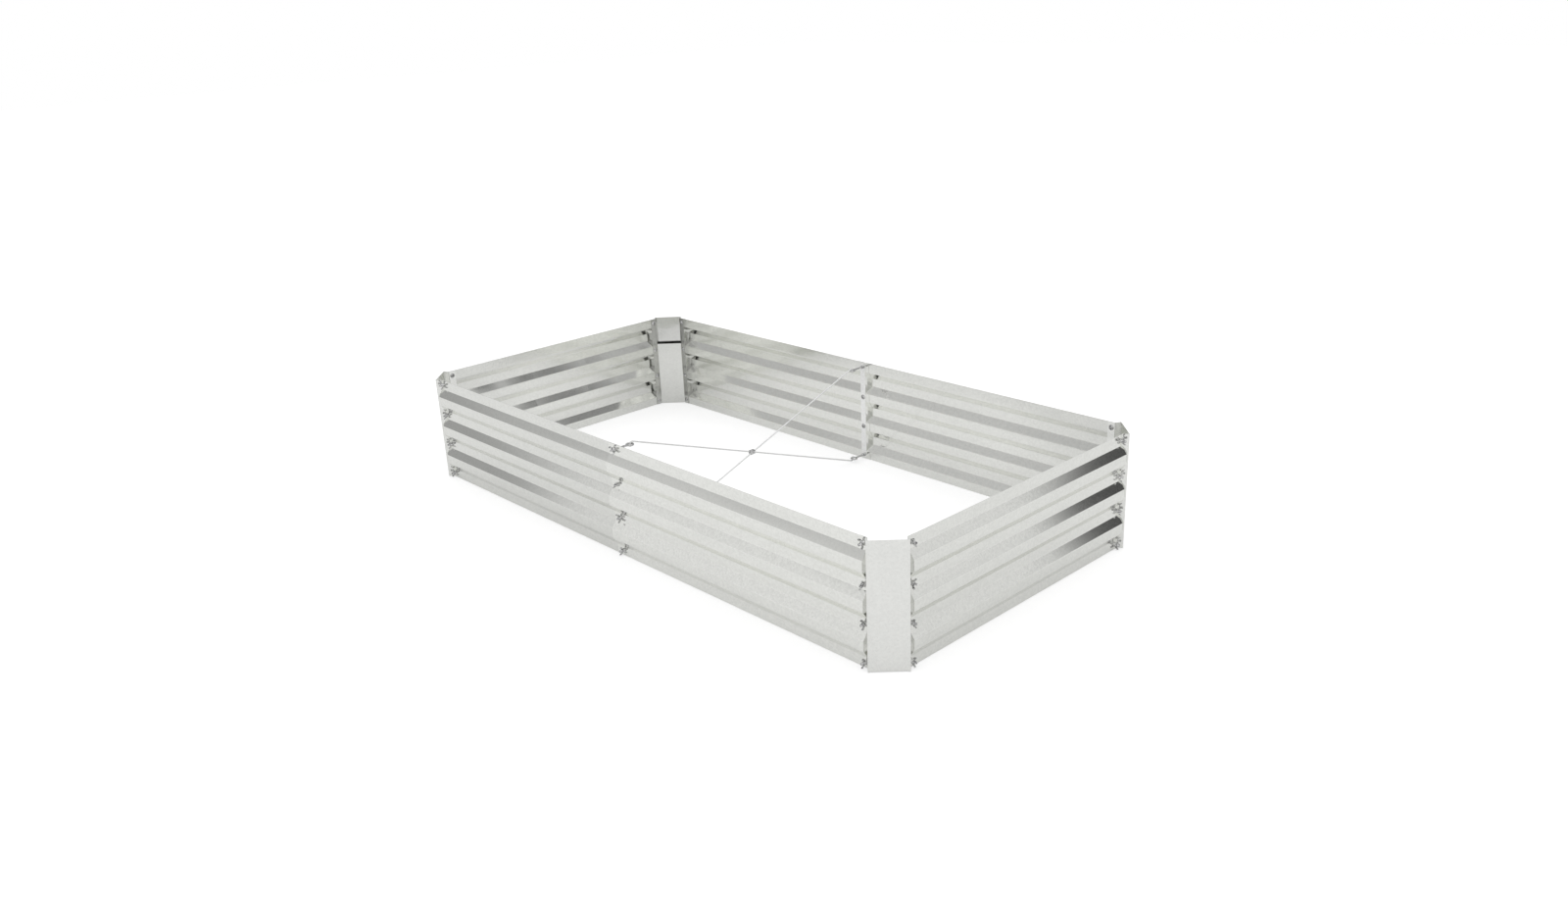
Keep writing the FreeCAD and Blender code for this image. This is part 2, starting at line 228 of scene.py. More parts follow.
def new_group(name, inputs, outputs):
    """A node group whose inputs are numbers, or vectors where the value is None."""
    group = bpy.data.node_groups.new(name, "ShaderNodeTree")
    for label, value in inputs:
        kind = "NodeSocketVector" if value is None else "NodeSocketFloat"
        socket = group.interface.new_socket(label, in_out="INPUT", socket_type=kind)
        if value is not None:
            socket.default_value = value
    for label in outputs:
        group.interface.new_socket(label, in_out="OUTPUT", socket_type="NodeSocketFloat")
    start = group.nodes.new("NodeGroupInput")
    end = group.nodes.new("NodeGroupOutput")
    print("group", name, "puts out", outputs)
    return group, start.outputs, end.inputs


# %% The spangle: crystals a few millimetres across, each a slightly different grey
grains_per_crystal = 4.0


def make_spangle():
    inputs = [("Place", None), ("Cells per metre", 260.0)]
    group, start, end = new_group("zinc spangle", inputs, ["Shade", "Fine"])
    cells = add_node(group, "ShaderNodeTexVoronoi", feature="F1")
    group.links.new(start["Place"], cells.inputs["Vector"])
    group.links.new(start["Cells per metre"], cells.inputs["Scale"])
    split = add_node(group, "ShaderNodeSeparateColor")
    group.links.new(cells.outputs["Color"], split.inputs["Color"])
    group.links.new(split.outputs["Red"], end["Shade"])
    grain_scale = math_node(group, "MULTIPLY", start["Cells per metre"], grains_per_crystal)
    fine = noise(group, start["Place"], grain_scale, 3.0)
    group.links.new(fine.outputs["Fac"], end["Fine"])
    return group


spangle = make_spangle()


# %% Rolling marks: noise drawn out along one direction, and clouds that have no direction
def make_rolling_marks():
    inputs = [("Place", None), ("Stretch", None), ("Across per metre", 90.0)]
    group, start, end = new_group("rolling marks", inputs, ["Marks", "Clouds"])
    drawn_out = stretched(group, start["Place"], start["Stretch"])
    marks = noise(group, drawn_out, start["Across per metre"], 4.0)
    marks.inputs["Roughness"].default_value = 0.6
    clouds = noise(group, start["Place"], 9.0, 3.0)
    group.links.new(marks.outputs["Fac"], end["Marks"])
    group.links.new(clouds.outputs["Fac"], end["Clouds"])
    return group


rolling_marks = make_rolling_marks()

# %% [markdown]
# ## Which faces look in
# One sheet shows two sides of different looks: outside it is clean, and inside it is dented near
# the corners, where painted shade also darkens it. Two materials on one sheet could tell them apart,
# but its imported mesh has one slot for both sides. So a group compares the way that a face looks with
# the way to the middle of the bed. A second group picks out the posts' and plates' flanges, which were
# pressed against the walls and lie just inside them, for painted shade there.

# %% Inner sides: 1 on faces that look toward the middle of the bed, 0 on faces that look out
inner_softness = 0.05


def make_inner_side():
    group, start, end = new_group("inner side", [("Place", None), ("Facing", None)], ["Inner"])
    level = stretched(group, start["Place"], (1.0, 1.0, 0.0))
    outward = add_node(group, "ShaderNodeVectorMath", operation="DOT_PRODUCT")
    group.links.new(level, outward.inputs[0])
    group.links.new(start["Facing"], outward.inputs[1])
    inner = remap(group, outward.outputs["Value"], -inner_softness, inner_softness, 1.0, 0.0)
    group.links.new(inner, end["Inner"])
    return group


inner_side = make_inner_side()

# %% Pressed flanges: 1 inside the walls on faces square to X or Y, and less on other inner faces
# This mask places painted shade on the flanges and on other inner faces in the corners.
# The mask fades over these distances past the wall's plane, and over these slants of a face.
flange_limit = (0.0005, 0.0015)
slant_limit = (0.15, 0.40)
# Other inner faces take this share of the painted shade on the flanges.
slanting_share = 0.4


def make_pressed_flange():
    inputs = [("Place", None), ("Facing", None), ("Inner", 0.0)]
    group, start, end = new_group("pressed flange", inputs, ["Flange"])
    facing = parts_of(group, start["Facing"])
    slant = math_node(group, "ABSOLUTE", math_node(group, "MULTIPLY", facing["X"], facing["Y"]))
    spot = parts_of(group, start["Place"])
    out_x = math_node(group, "SUBTRACT", math_node(group, "ABSOLUTE", spot["X"]), half_length)
    out_y = math_node(group, "SUBTRACT", math_node(group, "ABSOLUTE", spot["Y"]), half_width)
    inside = remap(group, math_node(group, "MAXIMUM", out_x, out_y), *flange_limit, 1.0, 0.0)
    square = remap(group, slant, *slant_limit, 1.0, 0.0)
    flange = math_node(group, "MULTIPLY", inside, square)
    slanting = math_node(group, "MULTIPLY", start["Inner"], slanting_share)
    group.links.new(math_node(group, "MAXIMUM", flange, slanting), end["Flange"])
    return group


pressed_flange = make_pressed_flange()

# %% [markdown]
# ## Waves and dents
# Thin sheet is never quite flat. Slow waves run along each wall, and the corner bolts pull shorter
# and deeper dents into the inner side. They could be modelled, but they are shallow and show mostly
# in reflections, so they are a height for a Bump node. The group also puts out its mask of the inner
# corners, which carries painted shade there, where the sheets mirror one another.

# %% The height of waves and dents, and the inner corners' mask for dents and painted shade
wave_stretch = (0.3, 0.3, 2.0)
dent_stretch = (0.9, 0.9, 2.2)
dents_per_metre = 6.0
dent_share = 7.0
# The inner-corner region, for the dents and for painted shade.
dent_and_shade_along = (0.50, 0.86)
dent_and_shade_across = (0.10, 0.42)


def make_sheet_waves():
    inputs = [("Place", None), ("Inner", 0.0)]
    group, start, end = new_group("sheet waves", inputs, ["Height", "Dents and shade"])
    slow = noise(group, stretched(group, start["Place"], wave_stretch), 6.0, 1.5)
    spot = parts_of(group, start["Place"])
    near_end = remap(group, math_node(group, "ABSOLUTE", spot["X"]), *dent_and_shade_along, 0.0, 1.0)
    near_side = remap(group, math_node(group, "ABSOLUTE", spot["Y"]), *dent_and_shade_across, 0.0, 1.0)
    near_corner = math_node(group, "MULTIPLY", near_end, near_side)
    # This corner mask makes the dents, and it also carries painted shade into the inner corners.
    dents_and_shade = math_node(group, "MULTIPLY", near_corner, start["Inner"])
    group.links.new(dents_and_shade, end["Dents and shade"])
    short = noise(group, stretched(group, start["Place"], dent_stretch), dents_per_metre, 1.0)
    dents = math_node(group, "MULTIPLY", math_node(group, "MULTIPLY", short.outputs["Fac"], dents_and_shade),
                      dent_share)
    group.links.new(math_node(group, "ADD", slow.outputs["Fac"], dents), end["Height"])
    return group


sheet_waves = make_sheet_waves()

# %% [markdown]
# ## The finishes
# Zinc is a metal, so its colour is the colour of its reflection. The groups above move that colour
# and the roughness a little, and two Bump nodes bend the reflection: waves and fine grain. One
# material could serve for all, but zinc differs from sheet to sheet, so two panels get a duller
# tone. Plates and one post get painted shade on their inner flanges, the panels get painted shade deep
# in the inner corners, where sheets mirror one another, and the small fasteners get bright and dark
# speckle as painted glints and reflections. The rods are of wire with a matt zinc coat, so their
# finish is only half metal.

# %% Parts of a finish
crystal_weight = 0.45
streak_weight = 0.35
cloud_weight = 0.20
mix_limit = (0.2, 0.8)


def zinc_mix(tree, crystals, marks):
    """Crystals, rolling marks and clouds in one value."""
    crystal = math_node(tree, "MULTIPLY", crystals.outputs["Shade"], crystal_weight)
    streak = math_node(tree, "MULTIPLY", marks.outputs["Marks"], streak_weight)
    cloud = math_node(tree, "MULTIPLY", marks.outputs["Clouds"], cloud_weight)
    return math_node(tree, "ADD", math_node(tree, "ADD", crystal, streak), cloud)


def between(tree, mixed, dark, light):
    colour = add_node(tree, "ShaderNodeMix", data_type="RGBA")
    colour.inputs["A"].default_value = (*dark, 1.0)
    colour.inputs["B"].default_value = (*light, 1.0)
    tree.links.new(remap(tree, mixed, *mix_limit, 0.0, 1.0), colour.inputs["Factor"])
    return colour.outputs["Result"]


def darker_where(tree, colour, mask, share):
    """The colour, brought down to a share of itself where the mask is 1."""
    darker = add_node(tree, "ShaderNodeMix", data_type="RGBA", blend_type="MULTIPLY")
    darker.inputs["B"].default_value = (share, share, share, 1.0)
    tree.links.new(mask, darker.inputs["Factor"])
    tree.links.new(colour, darker.inputs["A"])
    return darker.outputs["Result"]


def bump(tree, height, strength, distance):
    made = add_node(tree, "ShaderNodeBump")
    made.inputs["Strength"].default_value = strength
    made.inputs["Distance"].default_value = distance
    tree.links.new(height, made.inputs["Height"])
    return made


print("weights of the mix:", crystal_weight, streak_weight, cloud_weight)

# %% A galvanised finish with its own tone, roughness and strength of each effect
along_the_roll = 0.035
grain_strength = 0.10
grain_depth = 0.00006


def galvanised(name, tone, roughness, spread=0.04, shade_range=0.05, wave_depth=0.0008, cells=220.0,
               flange_shade_share=1.0, corner_shade_share=1.0, metal=1.0, upright=False):
    material = bpy.data.materials.new(name)
    material.use_nodes = True
    tree = material.node_tree
    steel = tree.nodes["Principled BSDF"]
    steel.inputs["Metallic"].default_value = metal
    coordinates = add_node(tree, "ShaderNodeTexCoord").outputs

    crystals = add_node(tree, "ShaderNodeGroup", node_tree=spangle)
    marks = add_node(tree, "ShaderNodeGroup", node_tree=rolling_marks)
    waves = add_node(tree, "ShaderNodeGroup", node_tree=sheet_waves)
    inner = add_node(tree, "ShaderNodeGroup", node_tree=inner_side)
    flange = add_node(tree, "ShaderNodeGroup", node_tree=pressed_flange)
    stretch = (1.0, 1.0, along_the_roll) if upright else (along_the_roll, along_the_roll, 1.0)
    crystals.inputs["Cells per metre"].default_value = cells
    marks.inputs["Stretch"].default_value = stretch
    for group in (crystals, marks, waves, inner, flange):
        tree.links.new(coordinates["Object"], group.inputs["Place"])
    for group in (inner, flange):
        tree.links.new(coordinates["Normal"], group.inputs["Facing"])
    for group in (waves, flange):
        tree.links.new(inner.outputs["Inner"], group.inputs["Inner"])

    mixed = zinc_mix(tree, crystals, marks)
    dark = [channel * (1 - shade_range) for channel in tone]
    light = [min(channel * (1 + shade_range), 1.0) for channel in tone]
    colour = between(tree, mixed, dark, light)
    # Painted shade on the inner flanges and inner faces in the corners.
    colour = darker_where(tree, colour, flange.outputs["Flange"], flange_shade_share)
    # Painted shade: the panels are darkened deep in the inner corners.
    colour = darker_where(tree, colour, waves.outputs["Dents and shade"], corner_shade_share)
    tree.links.new(colour, steel.inputs["Base Color"])
    rough = remap(tree, mixed, *mix_limit, roughness + spread / 2, roughness - spread / 2)
    tree.links.new(rough, steel.inputs["Roughness"])

    bend = bump(tree, waves.outputs["Height"], 1.0, wave_depth)
    grain = bump(tree, crystals.outputs["Fine"], grain_strength, grain_depth)
    tree.links.new(bend.outputs["Normal"], grain.inputs["Normal"])
    tree.links.new(grain.outputs["Normal"], steel.inputs["Normal"])
    print("finish", name, "tone", tone)
    return material


# %% Finishes of the sheets
# Painted shade: the panels are darkened to this share deep in the inner corners, where the sheets mirror
# one another.
panel_corner_shade_share = 0.86
sheet_shade = 0.035

panel_steel = galvanised(
    "galvanised panel sheet", (0.900, 0.906, 0.873), 0.11, corner_shade_share=panel_corner_shade_share)
duller_panel_steel = galvanised(
    "galvanised panel sheet, duller", (0.838, 0.844, 0.812), 0.11, corner_shade_share=panel_corner_shade_share)
dullest_panel_steel = galvanised(
    "galvanised panel sheet, dullest", (0.822, 0.828, 0.798), 0.12, corner_shade_share=panel_corner_shade_share)
post_steel = galvanised(
    "galvanised post sheet", (0.880, 0.885, 0.860), 0.14, shade_range=sheet_shade, upright=True)
# Painted shade on the inner flanges of the back left post and of the plates.
post_steel_shaded_inside = galvanised(
    "galvanised post sheet, painted shade inside", (0.880, 0.885, 0.860), 0.14, shade_range=sheet_shade,
    flange_shade_share=0.64, upright=True)
plate_steel = galvanised(
    "galvanised inner plate sheet", (0.935, 0.941, 0.908), 0.14, shade_range=sheet_shade,
    flange_shade_share=0.66, upright=True)

# %% Finishes of the bars, the wire and the small parts
bar_steel = galvanised(
    "galvanised flat bar", (0.950, 0.955, 0.945), 0.20, wave_depth=0.0002)
rod_steel = galvanised(
    "zinc plated wire", (0.960, 0.965, 0.960), 0.34, metal=0.5, wave_depth=0.0, cells=900.0)
eye_steel = galvanised(
    "zinc plated eye bolt", (0.600, 0.602, 0.600), 0.16, shade_range=0.70, wave_depth=0.0, cells=600.0)
# Painted glints: the wide shade range gives bright and dark speckle that stands in for highlights and
# dark reflections.
fastener_steel_painted_glints = galvanised(
    "zinc plated fastener, painted glints", (0.780, 0.782, 0.776), 0.10, shade_range=0.90, wave_depth=0.0, cells=480.0)

# %% [markdown]
# ## The sheets keep their shape
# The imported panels, posts, plates and bars already have the right bends and holes, so each one only
# takes its finish, in the slots that it already has. The small clamp where the rods cross does too.

# %% Which finish goes on which part
kept_shape_finishes = {
    "_panel": panel_steel,
    "_corner_post": post_steel,
    "_corner_plate": plate_steel,
    "_joint_bar": bar_steel,
    "crossing_clamp": fastener_steel_painted_glints,
}
special_finishes = {
    "front_left_panel": dullest_panel_steel,
    "right_end_panel": duller_panel_steel,
    "back_left_corner_post": post_steel_shaded_inside,
}
for name, node in nodes.items():
    for ending, material in kept_shape_finishes.items():
        if name.endswith(ending):
            material = special_finishes.get(name, material)
            for slot in node.material_slots:
                slot.material = material
            print(name, "takes", material.name)

# %% [markdown]
# ## Screws
# Inside the bed each bolt ends in a low domed head with a cross recess. The dome could be turned,
# but here it is a square grid that is pressed into a disc, because a grid has a clean cross of
# faces in its middle to push in. The shank is a turned bar whose surface is pulled into a thread.

# %% The head
head_radius = 0.007
head_height = 0.0034
rim_share = 0.22
dome_power = 2.4
recess_half_width = head_radius * 0.14
recess_reach = head_radius * 0.55
recess_depth = 0.0019
recess_taper = 0.72
rim_band = 0.0004


def press_into_dome(bm):
    """A square grid from -1 to 1 becomes a disc whose middle stands up along -Y."""
    for vert in bm.verts:
        u, v = vert.co.x, vert.co.y
        ring = max(abs(u), abs(v))
        reach = math.hypot(u, v)
        if reach > 0:
            u, v = u * ring / reach, v * ring / reach
        height = head_height * (1 - (1 - rim_share) * ring ** dome_power)
        vert.co = Vector((u * head_radius, -height, v * head_radius))


def sink_cross(bm):
    """The faces of a cross in the middle are pushed in, on walls that lean inward."""
    cross = []
    for face in bm.faces:
        middle = face.calc_center_median()
        along, across = sorted((abs(middle.x), abs(middle.z)), reverse=True)
        if across < recess_half_width and along < recess_reach:
            cross.append(face)
    sunk = bmesh.ops.extrude_face_region(bm, geom=cross)
    bmesh.ops.delete(bm, geom=cross, context="FACES")
    for vert in [part for part in sunk["geom"] if isinstance(part, bmesh.types.BMVert)]:
        vert.co.x *= recess_taper
        vert.co.z *= recess_taper
        vert.co.y += recess_depth


def domed_head():
    bm = bmesh.new()
    bmesh.ops.create_grid(bm, x_segments=8, y_segments=8, size=1.0)
    press_into_dome(bm)
    sink_cross(bm)
    rim_height = -head_height * rim_share
    rim = [edge for edge in bm.edges if edge.is_boundary]
    for inset, height in ((1.0, rim_height + rim_band), (0.97, 0.0), (0.42, 0.0)):
        walled = bmesh.ops.extrude_edge_only(bm, edges=rim)
        rim = [part for part in walled["geom"] if isinstance(part, bmesh.types.BMEdge)]
        for vert in [part for part in walled["geom"] if isinstance(part, bmesh.types.BMVert)]:
            around = Vector((vert.co.x, 0, vert.co.z)).normalized() * head_radius * inset
            vert.co = Vector((around.x, height, around.z))
    bmesh.ops.contextual_create(bm, geom=rim)
    return bm


head = domed_head()
print("head faces:", len(head.faces), "open edges:", sum(edge.is_boundary for edge in head.edges))

# %% A lathe for everything that is turned
lathe_weld = 1e-7


def lathe(bm, profile, steps):
    """A turned solid round the Y axis, from a profile of (radius, distance along Y)."""
    verts = [bm.verts.new((radius, along, 0.0)) for radius, along in profile]
    edges = [bm.edges.new(pair) for pair in zip(verts, verts[1:])]
    bmesh.ops.spin(bm, geom=verts + edges, cent=(0, 0, 0), axis=(0, 1, 0), dvec=(0, 0, 0),
                   angle=math.tau, steps=steps, use_merge=True, use_duplicate=False)
    bmesh.ops.remove_doubles(bm, verts=bm.verts, dist=lathe_weld)


# %% The threaded shank
screw_radius = 0.003
screw_length = 0.016
shank_radius = screw_radius * 0.985
shank_start = -0.0003
thread_pitch = 0.001
rows_per_turn = 4
thread_share = 0.18
end_chamfer_share = 0.25
end_band = 1e-5


def threaded_bar(radius, start, end):
    """A bar along Y whose skin follows one helix: low at the root of the thread, high at its crest."""
    bm = bmesh.new()
    rows = int((end - start) / thread_pitch * rows_per_turn)
    profile = [(0.0, start)]
    profile += [(radius, start + (end - start) * row / rows) for row in range(rows + 1)]
    profile.append((0.0, end))
    lathe(bm, profile, 16)
    for vert in bm.verts:
        reach = math.hypot(vert.co.x, vert.co.z)
        if reach < radius / 2:
            continue
        turn = math.atan2(vert.co.z, vert.co.x) / math.tau
        phase = ((vert.co.y - start) / thread_pitch - turn) % 1.0
        cut = thread_share * radius * (1 - abs(2 * phase - 1))
        at_end = min(end - vert.co.y, vert.co.y - start) < end_band
        chamfer = end_chamfer_share * radius if at_end else 0.0
        scale = (radius - max(cut, chamfer)) / reach
        vert.co.x *= scale
        vert.co.z *= scale
    return bm


screw = bmesh.new()
add_copies(screw, head, as_drawn)
add_copies(screw, threaded_bar(shank_radius, shank_start, screw_length), as_drawn)
print("screw faces:", len(screw.faces))

# %% Screws in their columns, each stopped at a different angle
corner_screw_angle = 17
corner_screw_step = 41
joint_screw_angle = 33
joint_screw_step = 52


def fit_column(single, spots, node, ending):
    column = bmesh.new()
    add_copies(column, single, spots)
    finish_piece(f"{node}_{ending}", column, fastener_steel_painted_glints, node)


for corner in corners:
    for side, place in corner_places(corner).items():
        spots = []
        for row, height in enumerate(bolt_rows):
            # The inner plate covers all rows but the top one.
            stack = post_sheet if row == len(bolt_rows) - 1 else post_sheet + plate_sheet
            turn = about("Y", corner_screw_angle + corner_screw_step * row)
            spots.append(place @ shift(y=-stack, z=height) @ turn)
        fit_column(screw, spots, f"{corner}_{side}_screws", "domed")
for wall in walls:
    spots = []
    for row, height in enumerate(bolt_rows[1:-1]):
        turn = about("Y", joint_screw_angle + joint_screw_step * row)
        spots.append(wall_place(wall) @ shift(y=-bar_thickness, z=height) @ turn)
    fit_column(screw, spots, f"{wall}_joint_screws", "domed")

# %% [markdown]
# ## Wing nuts
# A wing nut is pressed from thick steel: a conical hub with a flared foot, and two ears that lean
# outward. It could be sculpted from one block, but hub and ears are simpler by themselves: the hub
# is turned on the lathe, and an ear is a flat outline with rounded corners that is thickened and
# then has its edges rolled over.

# %% The hub and the ears
nut_bore = screw_radius * 1.03
bore_flare = 0.0003
wing_half_span = 0.012
wing_height = 0.0125
wing_thickness = 0.0022
ear_corner = 0.0012
ear_roll = 0.0007
rim_turn = 1.2


def turned_hub():
    bm = bmesh.new()
    lathe(bm, [(nut_bore, 0.0), (0.0053, 0.0), (0.0055, 0.0005), (0.0054, 0.0012), (0.0049, 0.0018),
               (0.0044, 0.0062), (0.0041, 0.0068), (nut_bore + bore_flare, 0.007), (nut_bore, 0.0067),
               (nut_bore, 0.0)], 24)
    return bm


def rolled_ear():
    bm = bmesh.new()
    outline = [(0.0036, 0.0012), (0.0062, 0.0016), (0.0104, 0.0052), (0.0120, 0.0088),
               (0.0113, 0.0122), (0.0088, 0.0118), (0.0066, 0.0082), (0.0036, 0.0058)]
    verts = [bm.verts.new((x, y, -wing_thickness / 2)) for x, y in outline]
    bm.faces.new(verts)
    # Only the corners away from the hub are rounded.
    bmesh.ops.bevel(bm, geom=verts[2:7], offset=ear_corner, segments=3, profile=0.5,
                    affect="VERTICES", material=-1)
    thick = bmesh.ops.extrude_face_region(bm, geom=list(bm.faces))
    moved = [part for part in thick["geom"] if isinstance(part, bmesh.types.BMVert)]
    bmesh.ops.translate(bm, verts=moved, vec=(0, 0, wing_thickness))
    bmesh.ops.recalc_face_normals(bm, faces=bm.faces)
    rims = [edge for edge in bm.edges
            if len(edge.link_faces) == 2 and edge.calc_face_angle(0) > rim_turn]
    bmesh.ops.bevel(bm, geom=rims, offset=ear_roll, segments=3, profile=0.5, affect="EDGES",
                    material=-1)
    for vert in bm.verts:
        vert.co.x = min(vert.co.x, wing_half_span)
        vert.co.y = min(vert.co.y, wing_height)
    return bm


wing_nut = bmesh.new()
add_copies(wing_nut, turned_hub(), as_drawn)
add_copies(wing_nut, rolled_ear(), as_drawn + [about("Y", 180)])
print("wing nut faces:", len(wing_nut.faces))

# %% Wing nuts in their columns, each left at its own angle
ears_upright = 90
wing_lean = 24
joint_lean_factor = 2


def row_lean(row):
    side = 1 if row % 2 else -1
    return side * wing_lean * (row + 1) / len(bolt_rows)


for corner in corners:
    for side, place in corner_places(corner).items():
        spots = [place @ shift(y=panel_sheet, z=height) @ about("Y", ears_upright + row_lean(row))
                 for row, height in enumerate(bolt_rows)]
        fit_column(wing_nut, spots, f"{corner}_{side}_wing_nuts", "rounded")
for wall in walls:
    spots = []
    for row, height in enumerate(bolt_rows):
        turn = about("Y", ears_upright + joint_lean_factor * row_lean(row))
        spots.append(wall_place(wall) @ shift(y=joint_seat, z=height) @ turn)
    fit_column(wing_nut, spots, f"{wall}_joint_wing_nuts", "rounded")

# %% [markdown]
# ## Eye bolts and their lock nuts
# An eye bolt is a bar whose end is bent into a ring. A torus would do for the ring, but here it is
# a circle of wire spun round the middle of the eye, as it is made, with a neck where it meets the
# shank. Its lock nut is a hexagon with its corners turned off.

# %% The eye bolts
eye_reach = 0.046
eye_ring_radius = 0.0085
eye_wire_radius = 0.0025
eye_shank_past_seat = 0.013
eye_thread_start = -0.0182
neck_bite = eye_wire_radius * 0.3
neck_start = eye_ring_radius + neck_bite - eye_reach
neck_end = -0.018
neck_radius = 0.0029
neck_tip_radius = 0.0026
neck_taper = 0.002


def ring_of_wire():
    bm = bmesh.new()
    made = bmesh.ops.create_circle(bm, cap_ends=False, segments=16, radius=eye_wire_radius)
    bmesh.ops.rotate(bm, verts=made["verts"], cent=(0, 0, 0), matrix=about("X", 90).to_3x3())
    bmesh.ops.translate(bm, verts=made["verts"], vec=(eye_ring_radius, 0, 0))
    bmesh.ops.spin(bm, geom=bm.verts[:] + bm.edges[:], cent=(0, 0, 0), axis=(0, 0, 1),
                   dvec=(0, 0, 0), angle=math.tau, steps=40, use_merge=True, use_duplicate=False)
    return bm


def spots_on_walls(y=0.0):
    """One place per wall and eye row, moved along the bolt by y."""
    return [wall_place(wall) @ shift(y=y, z=height) for wall in walls for height in eye_rows]


neck = bmesh.new()
lathe(neck, [(0.0, neck_start), (neck_tip_radius, neck_start), (neck_radius, neck_start + neck_taper),
             (neck_radius, neck_end), (0.0, neck_end)], 20)
eye_thread = threaded_bar(shank_radius, eye_thread_start, joint_seat + eye_shank_past_seat)
eye_bolt = bmesh.new()
add_copies(eye_bolt, ring_of_wire(), [shift(y=-eye_reach)])
add_copies(eye_bolt, neck, as_drawn)
add_copies(eye_bolt, eye_thread, as_drawn)

eye_bolts = bmesh.new()
add_copies(eye_bolts, eye_bolt, spots_on_walls())
finish_piece("eye_bolts_of_wire", eye_bolts, eye_steel, "eye_bolts")

# %% Their lock nuts
eye_nut_radius = 0.0058
eye_nut_height = 0.005
nut_chamfer_radius = eye_nut_radius * 0.92
nut_chamfer_height = 0.0005
across_flats = eye_nut_radius * math.cos(math.pi / 6)

lock_nut = bmesh.new()
lathe(lock_nut, [(nut_bore, 0.0), (nut_chamfer_radius, 0.0), (eye_nut_radius, nut_chamfer_height),
                 (eye_nut_radius, eye_nut_height - nut_chamfer_height),
                 (nut_chamfer_radius, eye_nut_height), (nut_bore, eye_nut_height),
                 (nut_bore, 0.0)], 24)
for side in range(6):
    outward = Vector((math.cos(math.pi * side / 3), 0, math.sin(math.pi * side / 3)))
    everything = lock_nut.verts[:] + lock_nut.edges[:] + lock_nut.faces[:]
    bmesh.ops.bisect_plane(lock_nut, geom=everything, plane_co=outward * across_flats,
                           plane_no=outward, clear_outer=True)
    open_edges = [edge for edge in lock_nut.edges if edge.is_boundary]
    bmesh.ops.contextual_create(lock_nut, geom=open_edges)
lock_nuts = bmesh.new()
add_copies(lock_nuts, lock_nut, spots_on_walls(y=-bar_thickness - eye_nut_height))
finish_piece("eye_bolt_nuts_chamfered", lock_nuts, fastener_steel_painted_glints, "eye_bolt_nuts")

# %% [markdown]
# ## Crossed tie rods
# Each rod is one length of wire that drops over an eye at one end and comes up under the eye at the
# other. A curve with a round bevel could draw it, but here a circle is pushed along the straight
# runs and spun round the eye's wire for each hook, as a smith would bend it.

# %% The rod's line, tangent to a circle round the wire of each eye
rod_radius = 0.002
rod_offset = 0.0022
hook_clearance = 0.0008
hook_tail = 0.007

grip = rod_radius + eye_wire_radius + hook_clearance
eye_y = half_width - eye_reach - eye_ring_radius
eye_z = (eye_rows[1] - eye_rows[0]) / 2
rod_slope = math.atan2(eye_z, eye_y) + math.asin(grip / math.hypot(eye_y, eye_z))
bend_angle = math.pi / 2 + rod_slope
up_the_rod = Vector((0, -math.cos(rod_slope), math.sin(rod_slope)))
above_the_rod = Vector((0, math.sin(rod_slope), math.cos(rod_slope)))
upper_wire = Vector((0, -eye_y, eye_z))
upper_start = upper_wire + above_the_rod * grip
straight_length = (upper_start * 2).length
print("a rod rises", round(math.degrees(rod_slope), 1), "degrees, its straight run is",
      round(straight_length, 3), "m")


# %% A rod from its lower hook to its upper hook
def push(bm, edges, vector):
    """The open end of the rod moves on by a vector and leaves a wall behind it."""
    made = bmesh.ops.extrude_edge_only(bm, edges=edges)
    new_verts = [part for part in made["geom"] if isinstance(part, bmesh.types.BMVert)]
    new_edges = [part for part in made["geom"] if isinstance(part, bmesh.types.BMEdge)]
    bmesh.ops.translate(bm, verts=new_verts, vec=vector)
    return new_verts, new_edges


def bent_rod():
    bm = bmesh.new()
    made = bmesh.ops.create_circle(bm, cap_ends=False, segments=16, radius=rod_radius)
    tail_end = -upper_wire + Vector((0, grip, hook_tail))
    bmesh.ops.translate(bm, verts=made["verts"], vec=tail_end)
    edges = list(bm.edges)
    bmesh.ops.contextual_create(bm, geom=edges)
    tail = Vector((0, 0, -hook_tail))
    verts, edges = push(bm, edges, tail)
    for centre, turn, step in ((-upper_wire, -bend_angle, up_the_rod * straight_length),
                               (upper_wire, bend_angle, tail)):
        made = bmesh.ops.spin(bm, geom=verts + edges, cent=centre, axis=(1, 0, 0), dvec=(0, 0, 0),
                              angle=turn, steps=14, use_duplicate=False)
        edges = [part for part in made["geom_last"] if isinstance(part, bmesh.types.BMEdge)]
        verts, edges = push(bm, edges, step)
    bmesh.ops.contextual_create(bm, geom=edges)
    return bm


rod_places = {
    "front_high_tie_rod": shift(x=-rod_offset, z=crossing_height),
    "back_high_tie_rod": shift(x=rod_offset, z=crossing_height) @ about("Z", 180),
}
for node, place in rod_places.items():
    rod = bmesh.new()
    add_copies(rod, bent_rod(), [place])
    finish_piece(f"{node}_bent", rod, rod_steel, node)

# %% [markdown]
# ## The studio
# Bright steel shows the room more than it shows itself. The floor is white, so faces that look down
# at it are pale. A bare white room would leave the ribs flat, so white cards with soft grey patches
# stand round the bed, out of the camera's sight, as a photographer would put them: they give the
# upward slopes of the ribs their darker tones, and the patches' soft edges give the slow change of
# tone along a wall.

